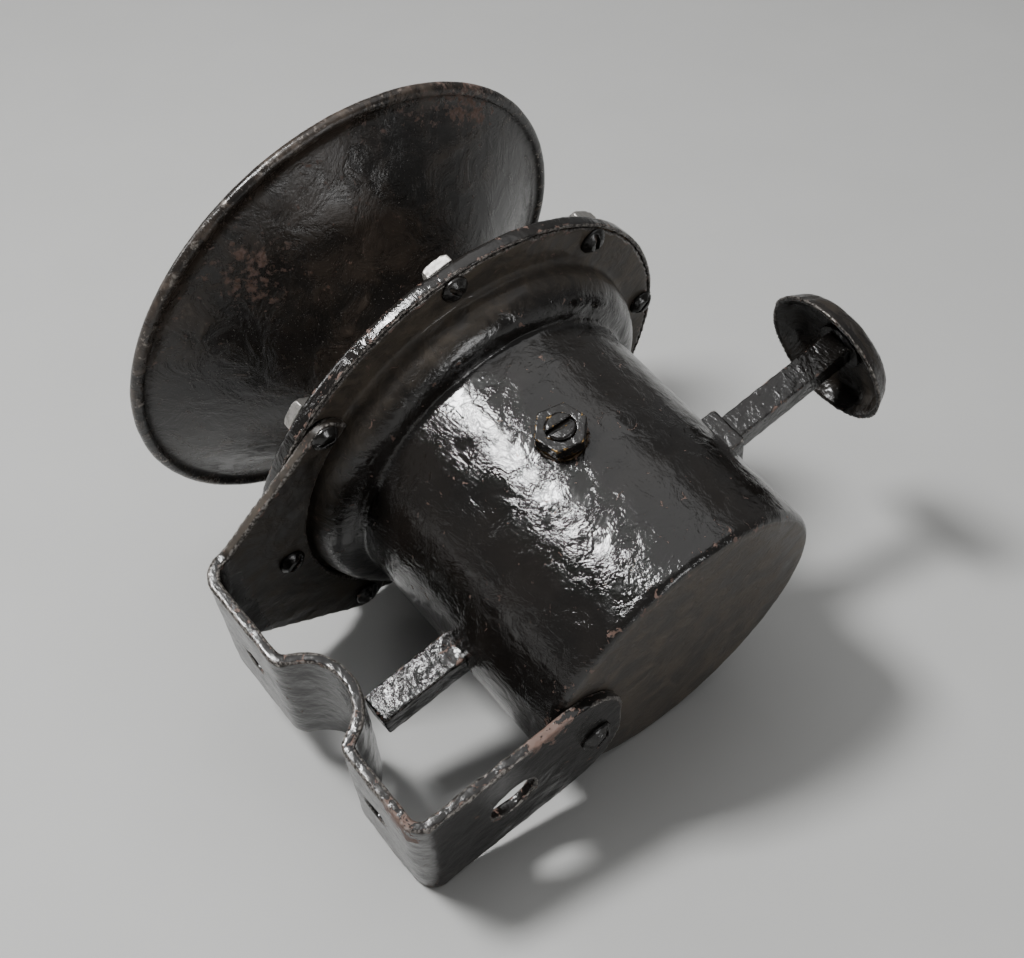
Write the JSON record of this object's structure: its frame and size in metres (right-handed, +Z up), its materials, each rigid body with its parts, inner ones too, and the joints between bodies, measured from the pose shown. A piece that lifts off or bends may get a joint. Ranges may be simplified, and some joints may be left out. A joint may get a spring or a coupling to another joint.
{
  "type": "hand-plunger warning horn",
  "caption": "Vintage hand horn: a sprung plunger drives a gear train that strikes the diaphragm behind a flared bell, on a bent strap bracket.",
  "frame": {"origin": "bottom centre of the bounding box, on the floor under the horn as it lies at rest", "axes": "+Z up from the floor the horn lies on; +X roughly along the plunger towards its button; +Y roughly along the bell axis towards its mouth. The bell axis rises 14.72 degrees above +Y and the plunger rises towards +X."},
  "size_m": [0.1904, 0.1776, 0.1567],
  "materials": {
    "black_enamel": "thick worn black enamel, glossy",
    "bell_enamel": "worn satin black with brown patina",
    "bare_nut_steel": "bare, handled",
    "aged_brass": "dull, part painted",
    "bearing_bronze": "oiled",
    "gasket_fibre": "compressed fibre sheet",
    "spring_steel": "blued",
    "machined_steel": "machined, oiled"
  },
  "bodies": {
    "housing": {"bell_horn": "bell_enamel", "bell_rivets": "bell_enamel", "front_cover": "black_enamel", "front_gasket": "gasket_fibre", "diaphragm": "spring_steel", "rear_gasket": "gasket_fibre", "diaphragm_anvil": "machined_steel", "anvil_washer": "machined_steel", "anvil_nut": "machined_steel", "housing_drum": "black_enamel", "flange_screws": "black_enamel", "flange_nuts": "bare_nut_steel", "mounting_bracket": "black_enamel", "bracket_rear_screw": "black_enamel", "bracket_rear_nut": "machined_steel", "gear_frame": "machined_steel", "frame_studs": "machined_steel", "guide_bridge": "machined_steel", "rack_guide": "bearing_bronze", "plunger_collar": "black_enamel", "guide_tube": "black_enamel", "return_spring": "spring_steel", "near_bearing_bush": "bearing_bronze", "near_bearing_screw": "aged_brass", "near_locknut": "aged_brass", "far_bearing_bush": "bearing_bronze", "far_bearing_screw": "aged_brass", "far_locknut": "aged_brass"},
    "plunger": {"push_button": "black_enamel", "plunger_bar": "black_enamel", "button_washer": "black_enamel", "button_rivet": "black_enamel", "tail_rod": "machined_steel", "stop_pin": "machined_steel"},
    "drive": {"gear_shaft": "machined_steel", "rack_pinion": "machined_steel", "drive_gear": "machined_steel", "ratchet_wheel": "machined_steel", "ratchet_pawl": "machined_steel"},
    "rotor": {"rotor_shaft": "machined_steel", "rotor_pinion": "machined_steel", "sound_wheel": "machined_steel"}
  },
  "joints": [
    {"name": "plunger_slide", "type": "slide", "parent": "housing", "child": "plunger", "axis": [-0.954, 0.0762, -0.2899], "range_m": [0, 0.032], "stiffness_N_per_m": 250, "springref_m": -0.02, "deforming": ["return_spring"]},
    {"name": "gear_spin", "type": "hinge", "parent": "housing", "child": "drive", "pos_m": [0.00045, -0.03013, 0.05808], "axis": [-0.2997, -0.2424, 0.9227], "range_deg": [-266, 3]},
    {"name": "rotor_spin", "type": "hinge", "parent": "housing", "child": "rotor", "pos_m": [0.00045, -0.01001, 0.06337], "axis": [-0.2997, -0.2424, 0.9227], "range_deg": [-4, 1106]}
  ],
  "couplings": [
    {"joint": "gear_spin", "follows": "plunger_slide", "rad_per_m": -142.86},
    {"joint": "rotor_spin", "follows": "plunger_slide", "rad_per_m": 600}
  ]
}
